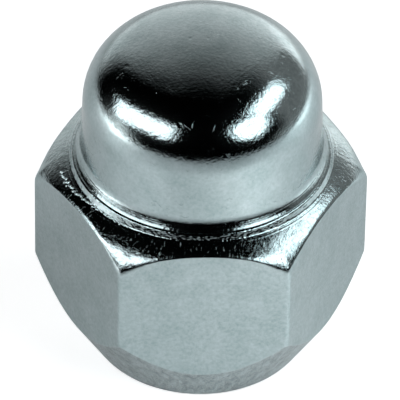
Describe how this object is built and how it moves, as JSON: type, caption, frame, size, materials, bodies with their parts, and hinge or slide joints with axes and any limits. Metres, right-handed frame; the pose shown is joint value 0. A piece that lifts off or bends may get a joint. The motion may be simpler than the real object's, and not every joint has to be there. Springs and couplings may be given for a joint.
{
  "type": "lug nut",
  "caption": "Chrome-plated closed-end wheel lug nut with a domed cap, a wrench hexagon and a conical seat.",
  "frame": {"origin": "centre of the open seat end", "axes": "+Z along the nut's axis, from the open end to the dome; two of the flats face -Y and +Y, so two corners point along -X and +X"},
  "size_m": [0.024, 0.021, 0.0268],
  "materials": {
    "chrome_plate": "bright chrome plate over turned and forged steel"
  },
  "bodies": {
    "root": {"lug_nut": "chrome_plate"}
  },
  "joints": []
}
